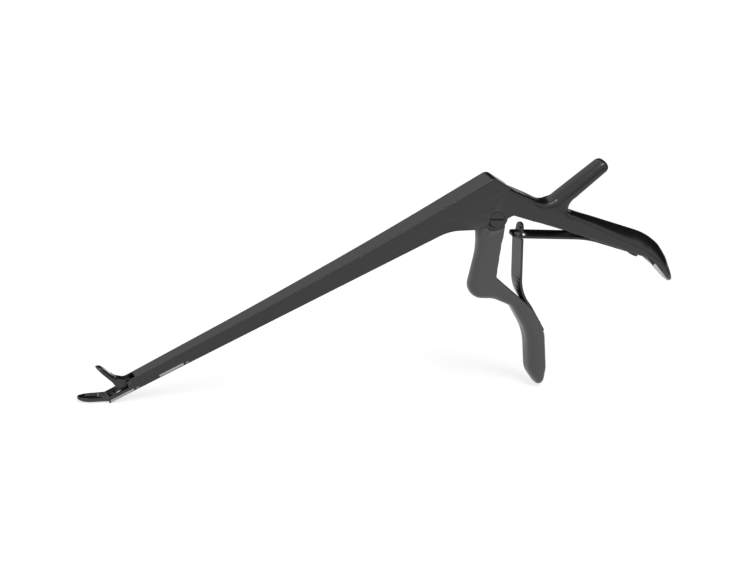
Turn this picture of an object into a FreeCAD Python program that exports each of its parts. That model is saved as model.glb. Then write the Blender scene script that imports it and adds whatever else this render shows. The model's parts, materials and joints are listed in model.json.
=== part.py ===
import FreeCAD, Part
import math
import os
import Sketcher
from FreeCAD import Vector

# A bone rongeur with a sliding shaft: a fixed bar with a handle, a bar that slides on it and swings an upper jaw,
# and a spring-loaded lever that drives the sliding bar.
# Everything is drawn with the shaft level: the lever's pivot is the origin, X runs along the shaft towards the
# handle, Y runs across it and Z is up. At the end the whole instrument is tilted onto its jaw and its lever.

# Driving dimensions in millimetres and degrees
SIZES = [
    ("stance_angle", 29.32),
    # fits
    ("running_gap", 0.05),
    ("side_gap", 0.07),
    ("swing_gap", 0.25),
    # fixed bar
    ("guide_level", 9.1),
    ("bar_front_x", -158.8),
    ("bar_front_under", 7.05),
    ("bar_rear_x", -19),
    ("bar_rear_under", 5.2),
    ("bar_rear_round", 18),
    ("bar_front_half_width", 2.55),
    ("bar_rear_half_width", 3.75),
    ("bar_taper_start_x", -146),
    ("bar_taper_end_x", -14),
    ("cheek_front_x", -8.4),
    ("cheek_front_z", -0.2),
    ("cheek_front_round", 1.5),
    ("boss_radius", 4.6),
    ("lever_slot_front_x", -8),
    ("lever_slot_rear_x", 4.9),
    # neck and tail of the fixed handle
    ("neck_top_x", 8.4),
    ("neck_waist_x", 22.4),
    ("neck_waist_z", -6.9),
    ("neck_waist_round", 12),
    ("neck_under_x", 6.7),
    ("neck_under_z", -2),
    ("neck_under_round", 1.5),
    ("tail_angle", 44.2),
    ("tail_under_length", 67.8),
    ("tail_turn", 27.5),
    ("tail_under_round", 12),
    ("tail_lip_length", 17.4),
    ("tail_start_x", 31),
    ("tail_bend_reach", 7.3),
    ("tail_bend_rise", 0.9),
    ("tail_bend_round", 33),
    ("plan_round", 12),
    ("tail_root_half_width", 4.4),
    ("tail_half_width", 5.7),
    ("tail_mid_x", 46),
    ("tail_end_round", 4.6),
    ("tail_crown_round", 1.3),
    ("tail_tip_round", 1.6),
    # horn
    ("horn_root_x", 18.6),
    ("horn_root_z", -6.45),
    ("horn_rise_angle", 12.2),
    ("horn_length", 30.7),
    ("horn_root_half_width", 3.75),
    ("horn_root_height", 6.2),
    ("horn_tip_half_width", 3.4),
    ("horn_tip_height", 4.6),
    ("horn_tip_round", 2),
    ("horn_top_roundness", 0.48),
    ("horn_under_roundness", 0.25),
    ("valley_along", 2.9),
    ("valley_round", 5),
    ("crotch_along", 6.4),
    ("crotch_round", 3),
    # T-shaped guides between the two bars
    ("key_neck_width", 1.3),
    ("key_neck_height", 0.45),
    ("key_head_width", 2.6),
    ("key_head_height", 0.6),
    ("key_length", 9),
    ("front_key_x", -124),
    ("rear_key_x", -36),
    # lower jaw
    ("jaw_lift_angle", 26.8),
    ("jaw_heel_x", -158.4),
    ("jaw_heel_z", 9.3),
    ("cup_root_half_width", 2.5),
    ("cup_root_height", 2.1),
    ("cup_root_overlap", 1.2),
    ("cup_half_width", 2.15),
    ("cup_height", 2.2),
    ("cup_belly_at", 3),
    ("cup_front_height", 1.95),
    ("cup_tip_length", 3.8),
    ("cup_length", 10.7),
    ("cup_wall", 0.75),
    ("cup_depth", 1.2),
    ("cup_heel", 1.6),
    ("cup_front_wall", 1.9),
    # channel for the upper jaw's root
    ("channel_depth", 1),
    ("channel_front_gap", 0.6),
    ("channel_ahead", 1.6),
    ("channel_behind", 2.6),
    ("channel_slant", 2.2),
    # upper jaw
    ("jaw_swing", 41),
    ("jaw_pivot_x", -152.2),
    ("jaw_pivot_z", 7.95),
    ("jaw_pin_radius", 0.55),
    ("jaw_eye_radius", 0.95),
    ("link_pin_x", -149.4),
    ("link_pin_z", 10.65),
    ("link_pin_radius", 0.5),
    ("link_eye_radius", 1.15),
    ("blade_lean", 22.4),
    ("blade_root_x", -154.75),
    ("blade_root_z", 13.65),
    ("blade_length", 8.6),
    ("blade_half_width", 2.4),
    ("blade_root_height", 2.3),
    ("blade_front_height", 1.6),
    ("blade_tip_length", 2.6),
    ("blade_wall", 0.75),
    ("blade_hollow_depth", 0.8),
    ("blade_heel", 1.3),
    ("blade_front_wall", 1.7),
    ("root_heel_drop", 0.9),
    ("root_top_x", 1.35),
    ("root_top_z", 2),
    ("root_neck_x", -152.7),
    ("root_neck_z", 14.2),
    ("root_crown", 0.9),
    ("root_width", 3.1),
    # sliding bar
    ("slider_front_x", -150.4),
    ("slider_front_top", 11.45),
    ("slider_knee_x", -98),
    ("slider_knee_top", 12.05),
    ("slider_hip_x", -44),
    ("slider_hip_top", 13.7),
    ("slider_top_round", 1500),
    ("slider_rear_x", 1.8),
    ("slider_rear_top", 16.9),
    ("slider_rear_round", 3),
    ("slider_tail_x", 9),
    ("fork_depth", 3.8),
    ("slider_side_round", 0.5),
    # lever
    ("lever_swing", 14),
    ("tongue_reach", 10.72),
    ("tongue_radius", 1.9),
    ("tongue_half_width", 1.45),
    ("head_thickness", 3.2),
    ("head_radius", 4.1),
    ("arm_half_width", 3.8),
    ("arm_widen_z", -33),
    ("grip_widen_z", -43),
    ("grip_half_width", 4.7),
    ("arm_front_top_x", -7.2),
    ("arm_front_top_z", -0.9),
    ("arm_front_x", -9.7),
    ("arm_front_z", -10.4),
    ("knee_front_x", -19.9),
    ("knee_front_z", -27.5),
    ("knee_round", 6),
    ("knee_under_x", -10.5),
    ("knee_under_z", -32.9),
    ("knee_rear_round", 1),
    ("arm_round", 30),
    ("grip_throat_round", 8),
    ("grip_round", 12),
    ("grip_front_top_x", -3.9),
    ("grip_front_top_z", -40.5),
    ("grip_front_mid_x", -1.2),
    ("grip_front_mid_z", -56),
    ("grip_front_low_x", -5.2),
    ("grip_front_low_z", -72.8),
    ("grip_tip_x", -3.3),
    ("grip_tip_thickness", 2.2),
    ("grip_tip_z", -80.9),
    ("grip_rear_low_x", 0.9),
    ("grip_rear_low_z", -76),
    ("grip_rear_top_x", 3.1),
    ("grip_rear_top_z", -44.3),
    ("grip_rear_angle", 80.5),
    ("grip_rear_length", 13.1),
    ("grip_end_round", 4.2),
    ("grip_tip_round", 1),
    ("knee_rear_x", -6.7),
    ("knee_rear_z", -23.9),
    ("arm_rear_top_x", 3.3),
    ("arm_rear_top_z", -2.2),
    ("grip_crown_round", 3.3),
    # lever screw
    ("screw_head_radius", 3),
    ("screw_head_height", 1.3),
    ("screw_recess", 1.2),
    ("screw_shank_radius", 2),
    ("screw_thread_radius", 1.6),
    ("screw_slot_width", 0.8),
    ("screw_slot_depth", 0.7),
    ("screw_slot_angle", 30),
    # leaf springs and their screws
    ("spring_thickness", 0.9),
    ("rear_spring_width", 6.6),
    ("front_spring_width", 7.2),
    ("rear_spring_tip_x", 4.9),
    ("rear_spring_tip_z", -11.4),
    ("rear_spring_lift", 36.8),
    ("rear_spring_round", 45),
    ("rear_spring_end", 5.2),
    ("rear_screw_along", 62.8),
    ("front_spring_tip_x", 10.1),
    ("front_spring_tip_z", -8.9),
    ("front_spring_shoulder_x", 7.3),
    ("front_spring_shoulder_z", -14.2),
    ("front_spring_shoulder_round", 4),
    ("front_spring_waist", 9.3),
    ("front_spring_waist_set", 0.75),
    ("front_spring_round", 20),
    ("front_spring_end", 12.6),
    ("front_screw_along", 9.4),
    ("front_spring_recess", 0.5),
    ("seat_run_out", 4),
    ("seat_bend", 1),
    ("eye_start", 1.3),
    ("eye_length", 5.2),
    ("eye_width", 4.7),
    ("eye_end_round", 2.6),
    ("tongue_end_round", 2),
    ("tongue_width", 4.3),
    ("tongue_length", 5.6),
    ("spring_screw_head_radius", 2.1),
    ("rear_screw_head_height", 1.1),
    ("front_screw_head_height", 0.4),
    ("spring_screw_shank_radius", 1.1),
    ("spring_screw_length", 3.2),
]

doc = FreeCAD.newDocument("rongeur")
sheet = doc.addObject("Spreadsheet::Sheet", "Sizes")


class Size:
    """A number together with the sheet formula that gives it."""

    def __init__(self, value, text):
        self.value = value
        self.text = text

    def joined(self, other, sign, value):
        return Size(value, "(%s %s %s)" % (self.text, sign, other.text))

    def __add__(self, other):
        other = as_size(other)
        return self.joined(other, "+", self.value + other.value)

    def __sub__(self, other):
        other = as_size(other)
        return self.joined(other, "-", self.value - other.value)

    def __mul__(self, other):
        other = as_size(other)
        return self.joined(other, "*", self.value * other.value)

    def __truediv__(self, other):
        other = as_size(other)
        return self.joined(other, "/", self.value / other.value)

    def __rsub__(self, other):
        return as_size(other) - self

    def __neg__(self):
        return Size(-self.value, "(-1 * %s)" % self.text)

    __radd__ = __add__
    __rmul__ = __mul__


def as_size(number):
    return number if isinstance(number, Size) else Size(float(number), "%g" % number)


def sine(angle):
    return Size(math.sin(math.radians(angle.value)), "sin(%s * 1 deg)" % angle.text)


def cosine(angle):
    return Size(math.cos(math.radians(angle.value)), "cos(%s * 1 deg)" % angle.text)


size = {}
for row, (name, number) in enumerate(SIZES, start=1):
    sheet.set("A%d" % row, name)
    sheet.set("B%d" % row, str(number))
    sheet.setAlias("B%d" % row, name)
    size[name] = Size(float(number), "Sizes." + name)
doc.recompute()


class Sizes:
    """Gives each driving dimension by its name."""

    def __getattr__(self, name):
        return size[name]


s = Sizes()


# Helpers for bodies, sketches and features

def new_body(label):
    body = doc.addObject("PartDesign::Body", label)
    body.Label = label
    return body


def bind(thing, prop, value):
    thing.setExpression(prop, as_size(value).text)


def new_sketch(body, role, first=0, second=0, tilt=0):
    """A sketch on an origin plane, moved by first (along the plane's second axis) and second (off the plane)."""
    sketch = body.newObject("Sketcher::SketchObject", "sketch")
    plane = [item for item in body.Origin.OriginFeatures if item.Role == role][0]
    first, second, tilt = as_size(first), as_size(second), as_size(tilt)
    turn = FreeCAD.Rotation(Vector(1, 0, 0), tilt.value)
    sketch.AttachmentSupport = [(plane, "")]
    sketch.MapMode = "FlatFace"
    sketch.AttachmentOffset = FreeCAD.Placement(Vector(0, first.value, second.value), turn)
    bind(sketch, ".AttachmentOffset.Base.y", first)
    bind(sketch, ".AttachmentOffset.Base.z", second)
    if tilt.value:
        bind(sketch, ".AttachmentOffset.Rotation.Angle", tilt)
    return sketch


def fix(sketch, bound):
    """Adds constraints: each is (arguments, size or None), and those with a size are bound to it."""
    first = sketch.ConstraintCount
    rules = []
    for arguments, value in bound:
        rules.append(Sketcher.Constraint(*(arguments if value is None else arguments + (value.value,))))
    sketch.addConstraint(rules)
    for index, (arguments, value) in enumerate(bound, start=first):
        if value is not None and value.text[0] in "(Ss":
            sketch.setExpression("Constraints[%d]" % index, value.text)


def at_point(geometry, end, x, y):
    """The two constraints that hold one point of a sketch."""
    return [(("DistanceX", -1, 1, geometry, end), as_size(x)), (("DistanceY", -1, 1, geometry, end), as_size(y))]


def outline(sketch, corners, closed=True):
    """A polygon whose corners are (x, y) or (x, y, radius): the last kind is rounded with a tangent arc."""
    count = len(corners)
    points = [Vector(as_size(c[0]).value, as_size(c[1]).value, 0) for c in corners]
    starts, ends, arcs = list(points), list(points), {}
    for i, corner in enumerate(corners):
        if len(corner) == 3 and (closed or 0 < i < count - 1):
            radius = as_size(corner[2])
            back = (points[i - 1] - points[i]).normalize()
            ahead = (points[(i + 1) % count] - points[i]).normalize()
            half = math.acos(max(-1, min(1, back.dot(ahead)))) / 2
            reach = radius.value / math.tan(half)
            middle = points[i] + (back + ahead).normalize() * (radius.value / math.sin(half))
            ends[i] = points[i] + back * reach
            starts[i] = points[i] + ahead * reach
            arcs[i] = (middle, radius, back.cross(ahead).z < 0)
    edges = count if closed else count - 1
    lines = sketch.addGeometry([Part.LineSegment(starts[i], ends[(i + 1) % count]) for i in range(edges)], False)
    rules = []
    for i in range(count):
        before = lines[i - 1] if closed or i > 0 else None
        after = lines[i] if i < edges else None
        if i in arcs:
            middle, radius, left = arcs[i]
            first, last = (ends[i], starts[i]) if left else (starts[i], ends[i])
            angles = [math.atan2((p - middle).y, (p - middle).x) for p in (first, last)]
            circle = Part.Circle(middle, Vector(0, 0, 1), radius.value)
            arc = sketch.addGeometry(Part.ArcOfCircle(circle, angles[0], angles[1]), False)
            mark = sketch.addGeometry(Part.Point(points[i]), True)
            entry, leave = (1, 2) if left else (2, 1)
            rules += [(("Tangent", before, 2, arc, entry), None), (("Tangent", arc, leave, after, 1), None)]
            rules += [(("Radius", arc), radius), (("PointOnObject", mark, 1, before), None)]
            rules += [(("PointOnObject", mark, 1, after), None)]
            rules += at_point(mark, 1, corners[i][0], corners[i][1])
        elif after is None:
            rules += at_point(before, 2, corners[i][0], corners[i][1])
        else:
            rules += at_point(after, 1, corners[i][0], corners[i][1])
            if before is not None:
                rules.append((("Coincident", before, 2, after, 1), None))
    fix(sketch, rules)


def circle(sketch, x, y, radius):
    x, y, radius = as_size(x), as_size(y), as_size(radius)
    ring = sketch.addGeometry(Part.Circle(Vector(x.value, y.value, 0), Vector(0, 0, 1), radius.value), False)
    fix(sketch, at_point(ring, 3, x, y) + [(("Radius", ring), radius)])


def stadium(sketch, low, high, half_width):
    """A slot along the sketch's second axis, with round ends centred at low and high."""
    low, high, half_width = as_size(low), as_size(high), as_size(half_width)
    r = half_width.value
    upper = Part.ArcOfCircle(Part.Circle(Vector(0, high.value, 0), Vector(0, 0, 1), r), 0, math.pi)
    lower = Part.ArcOfCircle(Part.Circle(Vector(0, low.value, 0), Vector(0, 0, 1), r), math.pi, 2 * math.pi)
    left = Part.LineSegment(Vector(-r, high.value, 0), Vector(-r, low.value, 0))
    right = Part.LineSegment(Vector(r, low.value, 0), Vector(r, high.value, 0))
    top, bottom, side, other = sketch.addGeometry([upper, lower, left, right], False)
    rules = [(("Tangent", top, 2, side, 1), None), (("Tangent", side, 2, bottom, 1), None)]
    rules += [(("Tangent", bottom, 2, other, 1), None), (("Tangent", other, 2, top, 1), None)]
    rules += at_point(top, 3, 0, high) + at_point(bottom, 3, 0, low) + [(("Radius", top), half_width)]
    fix(sketch, rules[:-1])
    fix(sketch, rules[-1:])


def rectangle(sketch, low_x, high_x, low_y, high_y):
    outline(sketch, [(low_x, low_y), (high_x, low_y), (high_x, high_y), (low_x, high_y)])


def volume_of(body):
    doc.recompute()
    return body.Shape.Volume


def feature(body, kind, sketch, length=None, both=True, reverse=False, **more):
    """A pad or a pocket of a sketch: both=True spreads it evenly to each side of the sketch's plane."""
    before = volume_of(body) if kind == "Pocket" else 0
    item = body.newObject("PartDesign::" + kind, kind.lower())
    item.Profile = sketch
    item.SideType = "Symmetric" if both else "One side"
    item.Reversed = reverse
    if length is None:
        item.Type = "ThroughAll"
    else:
        item.Type = "Length"
        item.Length = as_size(length).value
        bind(item, "Length", length)
    for key, value in more.items():
        setattr(item, key, value)
    after = volume_of(body)
    if kind == "Pocket" and after > before - 0.001:
        raise RuntimeError("%s: a pocket removed nothing" % body.Label)
    return item


def loft(body, sketches):
    item = body.newObject("PartDesign::AdditiveLoft", "loft")
    item.Profile = sketches[0]
    item.Sections = sketches[1:]
    doc.recompute()
    return item


def round_edges(body, radius, chosen, kind="Fillet"):
    """Rounds or bevels the edges of the body for which chosen(edge) is true."""
    doc.recompute()
    base = body.Tip
    names = ["Edge%d" % n for n, edge in enumerate(base.Shape.Edges, start=1) if chosen(edge)]
    if not names:
        raise RuntimeError("%s: no edges to round" % body.Label)
    item = body.newObject("PartDesign::" + kind, kind.lower())
    item.Base = (base, names)
    prop = "Radius" if kind == "Fillet" else "Size"
    setattr(item, prop, as_size(radius).value)
    bind(item, prop, radius)
    doc.recompute()
    if "Invalid" in item.State:
        raise RuntimeError("%s: the rounding failed" % body.Label)
    return item


def bore(body, x, z, radius, low_y, high_y, kind="Pocket"):
    """A round hole across the instrument, from low_y to high_y, or with kind "Pad" a round rod."""
    low_y, high_y = as_size(low_y), as_size(high_y)
    sketch = new_sketch(body, "XZ_Plane", 0, -(low_y + high_y) / 2)
    circle(sketch, x, z, radius)
    return feature(body, kind, sketch, high_y - low_y)


def ends_of(edge):
    return [vertex.Point for vertex in edge.Vertexes]


# Directions and places that several sub-parts share

def slope_of(x0, z0, x1, z1):
    """The downward slope, in degrees, of the line from the first point to the second."""
    drop, run = z0 - as_size(z1), x1 - as_size(x0)
    value = math.degrees(math.atan2(drop.value, run.value))
    return Size(value, "(atan2(%s; %s) / 1 deg)" % (drop.text, run.text))


def along(x, z, slope, distance, offset=0):
    """The point at a distance down a sloping line from (x, z), moved by offset to its upper side."""
    return (x + cosine(slope) * distance + sine(slope) * offset,
            z - sine(slope) * distance + cosine(slope) * offset)


def along_tail(distance, offset=0):
    return along(s.neck_under_x, s.neck_under_z, s.tail_angle, distance, offset)


def along_grip(distance, offset=0):
    return along(s.grip_rear_top_x, s.grip_rear_top_z, s.grip_rear_angle, distance, offset)


def sketch_across(body, point, slope):
    """A sketch square to a line that slopes down: its second axis points to the line's upper side."""
    return new_sketch(body, "YZ_Plane", point[1], point[0], slope)


def sketch_under(body, point, slope):
    """A sketch in the surface that slopes down, its second axis pointing back up the slope."""
    return new_sketch(body, "YZ_Plane", point[1], point[0], slope - 90)


lean = s.lever_swing / 2
travel = 2 * s.tongue_reach * sine(lean)
tongue_x = s.tongue_reach * sine(lean)
tongue_z = s.tongue_reach * cosine(lean)
slider_under = s.guide_level + s.running_gap
lever_slot_width = s.head_thickness + 2 * s.side_gap
root_slot_width = s.root_width + 2 * s.side_gap
fork_rear_x = s.slider_front_x + s.fork_depth
finger_length = s.horn_length - s.horn_tip_round
neck_slope = slope_of(s.neck_top_x, s.guide_level, s.neck_waist_x, s.neck_waist_z)
tail_end_angle = s.tail_angle + s.tail_turn
tail_corner = along_tail(s.tail_under_length)
tail_lip = along(tail_corner[0], tail_corner[1], tail_end_angle, s.tail_lip_length)
tail_bend = (tail_corner[0] + s.tail_bend_reach, tail_corner[1] + s.tail_bend_rise)
back_slope = slope_of(s.neck_waist_x, s.neck_waist_z, tail_bend[0], tail_bend[1])
under_slope = -s.horn_rise_angle - slope_of(0, 0, finger_length, s.horn_tip_height - s.horn_root_height)

# A web reaches a little past the ends of its arc
REACH_ROOM = 1.02


def taper_width(body, beyond):
    """Trims a bar to the plan shape of the shaft; beyond gives the corners behind the taper."""
    near = [(s.bar_taper_start_x, s.bar_front_half_width), (s.bar_taper_end_x, s.bar_rear_half_width)] + beyond
    start = s.bar_front_x - 20
    rim = [(start, s.bar_front_half_width)] + near
    far = [(corner[0], -as_size(corner[1])) + corner[2:] for corner in reversed(rim)]
    sketch = new_sketch(body, "XY_Plane")
    side = 3 * s.bar_rear_half_width
    rectangle(sketch, start - 10, rim[-1][0] + 10, -side, side)
    outline(sketch, rim + far)
    feature(body, "Pocket", sketch)


def key_profile(sketch, grow, level, drop):
    """A T-shaped guide section under level, grown all round by a clearance."""
    neck, head = s.key_neck_width / 2 + grow, s.key_head_width / 2 + grow
    step = s.guide_level - s.key_neck_height + grow
    foot = s.guide_level - s.key_neck_height - s.key_head_height - drop
    outline(sketch, [(-neck, level), (-neck, step), (-head, step), (-head, foot),
                     (head, foot), (head, step), (neck, step), (neck, level)])


# The fixed bar with its lower jaw, cheeks, neck, horn and tail

def add_tail_and_bar(body):
    side = new_sketch(body, "XZ_Plane")
    outline(side, [
        (s.bar_front_x, s.guide_level),
        (s.bar_front_x, s.bar_front_under),
        (s.bar_rear_x, s.bar_rear_under, s.bar_rear_round),
        (s.cheek_front_x, s.cheek_front_z, s.cheek_front_round),
        (0, s.neck_under_z),
        (s.neck_under_x, s.neck_under_z, s.neck_under_round),
        tail_corner + (s.tail_under_round,),
        tail_lip,
        (tail_bend[0], tail_lip[1]),
        tail_bend + (s.tail_bend_round,),
        (s.neck_waist_x, s.neck_waist_z, s.neck_waist_round),
        (s.neck_top_x, s.guide_level),
    ])
    feature(body, "Pad", side, 2.4 * s.tail_half_width)


def round_end(body, half, low, radius):
    """Rounds the lower end of a handle as it is seen from the front."""
    sketch = new_sketch(body, "YZ_Plane")
    top = low + 2 * radius
    outline(sketch, [(-2 * half, top), (-half, top), (-half, low, radius), (half, low, radius),
                     (half, top), (2 * half, top), (2 * half, low - half), (-2 * half, low - half)])
    feature(body, "Pocket", sketch)


def round_corner(body, x, low, radius, toward):
    """Rounds a lower corner of the side view: toward is 1 where the outside lies at higher x, else -1."""
    sketch = new_sketch(body, "XZ_Plane")
    away, inner = x + 2 * radius * toward, x - radius * toward * REACH_ROOM
    top, bottom = low + radius * REACH_ROOM, low - radius
    outline(sketch, [(away, top), (x, top), (x, low, radius), (inner, low), (inner, bottom), (away, bottom)])
    feature(body, "Pocket", sketch)


def add_boss(body):
    sketch = new_sketch(body, "XZ_Plane")
    circle(sketch, 0, 0, s.boss_radius)
    feature(body, "Pad", sketch, 2 * s.bar_rear_half_width)


def horn_place(distance, below=0):
    """A point on the horn's top line, at a distance from its root, or below that line."""
    rise = s.horn_rise_angle
    return (s.horn_root_x + cosine(rise) * distance + sine(rise) * below,
            s.horn_root_z + sine(rise) * distance - cosine(rise) * below)


def horn_section(body, distance, half_width, height, inset):
    """A section square to the horn, drawn in from its full size by the inset, with its top edges the rounder."""
    place = horn_place(distance)
    sketch = new_sketch(body, "YZ_Plane", place[1], place[0], -s.horn_rise_angle)
    side, low = half_width - inset, inset - height
    tall = height - 2 * inset
    over, under = tall * s.horn_top_roundness, tall * s.horn_under_roundness
    outline(sketch, [(-side, -inset, over), (-side, low, under), (side, low, under), (side, -inset, over)])
    return sketch


def horn_under(distance):
    """A point on the line of the horn's underside."""
    taper = (s.horn_root_height - s.horn_tip_height) / finger_length
    return horn_place(distance, s.horn_root_height - taper * distance)


def add_finger(body):
    """The horn itself: a tapering finger with a domed tip."""
    loft(body, [horn_section(body, 0, s.horn_root_half_width, s.horn_root_height, as_size(0)),
                horn_section(body, finger_length, s.horn_tip_half_width, s.horn_tip_height, as_size(0))])
    dome = []
    for share in (0, 0.5, 0.8, 0.95, 1):
        distance = finger_length + s.horn_tip_round * share
        inset = s.horn_tip_round * (1 - math.sqrt(1 - share ** 2))
        dome.append(horn_section(body, distance, s.horn_tip_half_width, s.horn_tip_height, inset))
    loft(body, dome)


def add_corner_web(body, corner, radius, first_slope, second_slope, sink):
    """Fills an inner corner of the side view with a tangent arc: each slope is a line's, towards the corner's ends."""
    reach = radius / math.tan(math.radians((second_slope - first_slope).value) / 2) * REACH_ROOM
    first = along(corner[0], corner[1], first_slope, reach)
    second = along(corner[0], corner[1], second_slope, reach)
    middle = (second_slope + first_slope) / 2
    web = new_sketch(body, "XZ_Plane")
    outline(web, [first, corner + (radius,), second, along(second[0], second[1], middle, -sink),
                  along(corner[0], corner[1], middle, -sink), along(first[0], first[1], middle, -sink)])
    feature(body, "Pad", web, 2 * s.horn_root_half_width)


def cup_section(body, distance, half_width, depth):
    slope = s.jaw_lift_angle
    x = s.jaw_heel_x - distance * cosine(slope)
    z = s.jaw_heel_z + distance * sine(slope)
    sketch = new_sketch(body, "YZ_Plane", z, x, slope)
    outline(sketch, [(-half_width, 0), (-half_width, -depth, 0.75 * depth), (half_width, -depth, 0.75 * depth),
                     (half_width, 0)])
    return sketch


def tip_sections(length, tip_length, half_width, height):
    """The sections of a jaw's blunt tip, from its full width to its end."""
    shares = (0, 0.67, 1)
    slim = [1 - 0.58 * share ** 2 for share in shares]
    return [(length - tip_length * (1 - share), half_width * k, height * k) for share, k in zip(shares, slim)]


def add_cup(body):
    """The lower jaw: a spoon that rises ahead of the bar, with a hollow inside its rim."""
    sections = [(-s.cup_root_overlap, s.cup_root_half_width, s.cup_root_height),
                (s.cup_belly_at, s.cup_half_width, s.cup_height)]
    sections += tip_sections(s.cup_length, s.cup_tip_length, s.cup_half_width, s.cup_front_height)
    loft(body, [cup_section(body, *section) for section in sections])


def hollow_cup(body):
    half = s.cup_half_width - s.cup_wall
    sketch = new_sketch(body, "YZ_Plane", s.jaw_heel_z, s.jaw_heel_x, s.jaw_lift_angle - 90)
    stadium(sketch, s.cup_heel + half, s.cup_length - s.cup_front_wall - half, half)
    feature(body, "Pocket", sketch, 2 * s.cup_depth)


def cut_guides(body):
    for key_x in (s.front_key_x, s.rear_key_x):
        front = key_x - s.key_length / 2 - travel - s.side_gap
        rear = key_x + s.key_length / 2 + s.side_gap
        slot = new_sketch(body, "YZ_Plane", 0, (front + rear) / 2)
        key_profile(slot, s.side_gap, s.guide_level + 1, s.side_gap)
        feature(body, "Pocket", slot, rear - front)
        entry = new_sketch(body, "XY_Plane", 0, s.guide_level)
        half = s.key_head_width / 2 + s.side_gap
        rectangle(entry, rear - 0.5, rear + s.key_length + s.side_gap, -half, half)
        depth = s.key_neck_height + s.key_head_height + s.side_gap
        feature(body, "Pocket", entry, 2 * depth)


def cut_front_channel(body):
    """The channel that the upper jaw's root turns in: open through round the pivot, with a floor ahead of it."""
    floor = s.guide_level - s.channel_depth
    front = s.jaw_heel_x + s.channel_front_gap
    rear = s.jaw_pivot_x + s.jaw_eye_radius + s.link_eye_radius + s.channel_behind
    open_front = s.jaw_pivot_x - s.jaw_eye_radius - s.channel_ahead
    below, above = s.bar_front_under - s.bar_front_half_width, s.guide_level + s.bar_front_half_width
    sketch = new_sketch(body, "XZ_Plane")
    outline(sketch, [(front, floor), (open_front, floor), (open_front, below), (rear - s.channel_slant, below),
                     (rear, s.guide_level), (rear, above), (front, above)])
    feature(body, "Pocket", sketch, root_slot_width)


def cut_lever_slot(body):
    sketch = new_sketch(body, "XZ_Plane")
    rectangle(sketch, s.lever_slot_front_x, s.lever_slot_rear_x, -2 * s.boss_radius, s.guide_level + 1)
    feature(body, "Pocket", sketch, lever_slot_width)


def bore_for_screw(body):
    side = s.bar_rear_half_width
    inner = lever_slot_width / 2
    bore(body, 0, 0, s.screw_head_radius + s.side_gap, -side - 1, s.screw_recess - side)
    bore(body, 0, 0, s.screw_shank_radius, -side, -inner)
    bore(body, 0, 0, s.screw_thread_radius, inner, side + 1)


def bore_tail_for_spring_screw(body):
    point = along_tail(s.rear_screw_along)
    sketch = sketch_under(body, point, s.tail_angle)
    circle(sketch, 0, 0, s.spring_screw_shank_radius)
    feature(body, "Pocket", sketch, 2 * s.spring_screw_length)


def height_above(point, corner, slope):
    """How far a point lies above a line that slopes down through a corner."""
    angle = math.radians(slope.value)
    return (point.x - corner[0].value) * math.sin(angle) + (point.z - corner[1].value) * math.cos(angle)


def runs_across(edge):
    """True for an edge that runs straight across the instrument, such as the seam of an arc and a flat."""
    box = edge.BoundBox
    return box.XLength < 0.01 and box.ZLength < 0.01


def tail_crown_edge(edge):
    """True for the edges between the tail's sides and its back."""
    def outer(point):
        return max(height_above(point, tail_corner, s.tail_angle),
                   height_above(point, tail_corner, tail_end_angle)) > s.tail_crown_round.value
    behind_horn = edge.BoundBox.XMin > (s.neck_waist_x.value + s.tail_start_x.value) / 2
    return behind_horn and not runs_across(edge) and all(outer(point) for point in ends_of(edge))


def make_handle_body():
    body = new_body("handle_body")
    add_tail_and_bar(body)
    taper_width(body, [(s.neck_waist_x, s.bar_rear_half_width, s.plan_round),
                       (s.tail_start_x, s.tail_root_half_width, s.plan_round),
                       (s.tail_mid_x, s.tail_half_width, 2 * s.plan_round),
                       (tail_bend[0] + s.tail_half_width, s.tail_half_width)])
    round_edges(body, s.tail_crown_round, tail_crown_edge)
    round_end(body, s.tail_half_width, tail_lip[1], s.tail_end_round)
    round_corner(body, tail_bend[0], tail_lip[1], s.tail_tip_round, 1)
    add_boss(body)
    add_finger(body)
    add_corner_web(body, horn_under(s.crotch_along), s.crotch_round, under_slope, back_slope, s.crotch_round)
    add_corner_web(body, horn_place(s.valley_along), s.valley_round, neck_slope - 180, -s.horn_rise_angle,
                   s.crotch_round)
    add_cup(body)
    hollow_cup(body)
    cut_lever_slot(body)
    bore_for_screw(body)
    cut_guides(body)
    cut_front_channel(body)
    bore(body, s.jaw_pivot_x, s.jaw_pivot_z, s.jaw_pin_radius, -5, 5)
    bore_tail_for_spring_screw(body)
    return body


# The sliding bar

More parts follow.
